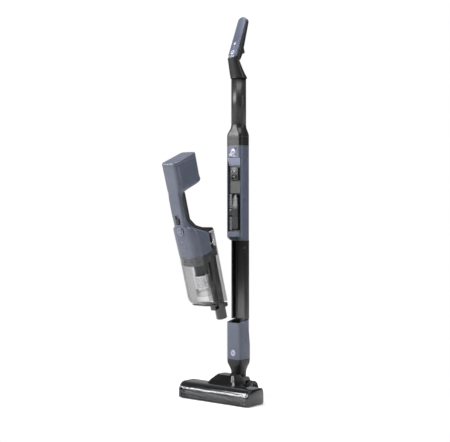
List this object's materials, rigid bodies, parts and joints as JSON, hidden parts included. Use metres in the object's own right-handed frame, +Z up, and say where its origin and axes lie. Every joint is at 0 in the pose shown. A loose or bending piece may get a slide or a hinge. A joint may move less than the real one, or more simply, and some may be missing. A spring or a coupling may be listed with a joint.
{
  "type": "cordless stick vacuum cleaner",
  "caption": "Cordless stick vacuum: wide floor head with a brush roll, a tilting stick with a docking holder and grip, and a detached handheld cleaner with a clear bin.",
  "frame": {"origin": "middle of the flat pad under the floor head, behind the brush opening; the sole is at z = 0", "axes": "+Z up along the upright stick, -Y to the front where the cleaner and the floor head point, +X along the floor head"},
  "size_m": [0.25, 0.341, 1.1022],
  "materials": {
    "slate": "satin",
    "charcoal": "satin",
    "gloss_black": "gloss",
    "grey_panel": "satin",
    "clear": "clear smoky",
    "rubber": "matte",
    "bristle": "brush pile",
    "steel": "brushed",
    "motor_metal": "satin",
    "button": "satin",
    "felt": "pleated felt"
  },
  "bodies": {
    "floor_head": {"roller_housing": "gloss_black", "front_window": "clear", "sole_plate": "charcoal", "end_cap_left": "gloss_black", "bearing_left": "steel", "brush_motor": "motor_metal", "drive_belt": "rubber", "neck_hood": "gloss_black", "wheel_axle": "steel"},
    "brush_roll": {"brush_axle": "steel", "brush_core": "charcoal", "brush_bristles": "bristle"},
    "pulley": {"motor_pulley": "grey_panel"},
    "right_cap": {"end_cap_right": "gloss_black", "bearing_right": "steel"},
    "left_wheel": {"wheel_left": "rubber"},
    "right_wheel": {"wheel_right": "rubber"},
    "knuckle": {"tilt_knuckle": "charcoal"},
    "stick": {"neck_collar": "charcoal", "lower_shroud": "slate", "socket_funnel": "charcoal", "socket_seal": "rubber", "rail_channel": "grey_panel", "rear_spine": "slate", "holder_shell": "slate", "holder_panel": "grey_panel", "dock_chin": "slate", "contact_block": "charcoal", "tool_clip": "charcoal", "upper_band": "slate", "tube_collar": "charcoal", "upper_tube": "charcoal", "handle_cable": "rubber", "handle_neck": "charcoal", "grip_core": "charcoal", "grip_cover": "slate", "grip_hook": "charcoal"},
    "release_button": {"lower_button": "button"},
    "dock_button": {"upper_button": "button"},
    "dock_latch": {"latch_tongue": "grey_panel"},
    "power_switch": {"power_button": "button"},
    "mode_switch": {"mode_button": "button"},
    "tool": {"brush_tool": "charcoal"},
    "cleaner": {"cleaner_casing": "slate", "inner_grip": "charcoal", "suction_motor": "motor_metal"},
    "cleaner_switch": {"cleaner_button": "button"},
    "slider": {"mode_slider": "charcoal"},
    "fan": {"impeller": "grey_panel"},
    "battery": {"head_cap": "slate", "battery_pack": "charcoal"},
    "bin": {"bin_shell": "clear", "bin_collar": "grey_panel", "cyclone_core": "charcoal", "filter_mesh": "steel", "cyclone_skirt": "clear", "pleated_filter": "felt", "inlet_spout": "gloss_black"},
    "door": {"bin_door": "charcoal", "door_latch": "charcoal"}
  },
  "joints": [
    {"name": "brush_spin", "type": "hinge", "parent": "floor_head", "child": "brush_roll", "pos_m": [0, -0.0358, 0.02], "axis": [1, 0, 0], "continuous": true},
    {"name": "pulley_spin", "type": "hinge", "parent": "floor_head", "child": "pulley", "pos_m": [0, -0.0005, 0.0195], "axis": [1, 0, 0], "continuous": true},
    {"name": "cap_pull", "type": "slide", "parent": "floor_head", "child": "right_cap", "axis": [1, 0, 0], "range_m": [0, 0.03]},
    {"name": "left_wheel_spin", "type": "hinge", "parent": "floor_head", "child": "left_wheel", "pos_m": [0, 0.07, 0.024], "axis": [1, 0, 0], "continuous": true},
    {"name": "right_wheel_spin", "type": "hinge", "parent": "floor_head", "child": "right_wheel", "pos_m": [0, 0.07, 0.024], "axis": [1, 0, 0], "continuous": true},
    {"name": "stick_tilt", "type": "hinge", "parent": "floor_head", "child": "knuckle", "pos_m": [0, 0.07, 0.024], "axis": [-1, 0, 0], "range_deg": [0, 70]},
    {"name": "stick_swivel", "type": "hinge", "parent": "knuckle", "child": "stick", "pos_m": [0, 0.06, 0.067], "axis": [0, 0, 1], "range_deg": [-40, 40]},
    {"name": "release_press", "type": "slide", "parent": "stick", "child": "release_button", "axis": [0, 1, 0], "range_m": [0, 0.002], "stiffness_N_per_m": 200},
    {"name": "dock_press", "type": "slide", "parent": "stick", "child": "dock_button", "axis": [0, 1, 0], "range_m": [0, 0.002], "stiffness_N_per_m": 200},
    {"name": "dock_latch_drop", "type": "slide", "parent": "stick", "child": "dock_latch", "axis": [0, 0, -1], "range_m": [0, 0.003]},
    {"name": "power_press", "type": "slide", "parent": "stick", "child": "power_switch", "axis": [0, 0.9184, -0.3955], "range_m": [0, 0.001], "stiffness_N_per_m": 200},
    {"name": "mode_press", "type": "slide", "parent": "stick", "child": "mode_switch", "axis": [0, 0.9184, -0.3955], "range_m": [0, 0.001], "stiffness_N_per_m": 200},
    {"name": "tool_out", "type": "slide", "parent": "stick", "child": "tool", "axis": [0, -1, 0], "range_m": [0, 0.05]},
    {"name": "cleaner_lift", "type": "slide", "parent": "floor_head", "child": "cleaner", "axis": [0, -1, 0], "range_m": [-0.04, 0.25]},
    {"name": "cleaner_press", "type": "slide", "parent": "cleaner", "child": "cleaner_switch", "axis": [0, 0.9583, 0.2857], "range_m": [0, 0.0015], "stiffness_N_per_m": 200},
    {"name": "slider_move", "type": "slide", "parent": "cleaner", "child": "slider", "axis": [0, -0.2857, 0.9583], "range_m": [0, 0.008]},
    {"name": "fan_spin", "type": "hinge", "parent": "cleaner", "child": "fan", "pos_m": [0, -0.1303, 0.42932], "axis": [0, -0.2857, 0.9583], "continuous": true},
    {"name": "battery_out", "type": "slide", "parent": "cleaner", "child": "battery", "axis": [0, -0.2857, 0.9583], "range_m": [0, 0.07]},
    {"name": "bin_off", "type": "slide", "parent": "cleaner", "child": "bin", "axis": [0, 0.2857, -0.9583], "range_m": [0, 0.06]},
    {"name": "door_drop", "type": "hinge", "parent": "bin", "child": "door", "pos_m": [0, -0.11472, 0.27556], "axis": [-1, 0, 0], "range_deg": [0, 75]}
  ],
  "couplings": [
    {"joint": "pulley_spin", "follows": "brush_spin", "ratio": 1.8},
    {"joint": "dock_latch_drop", "follows": "dock_press", "ratio": 1.5}
  ]
}
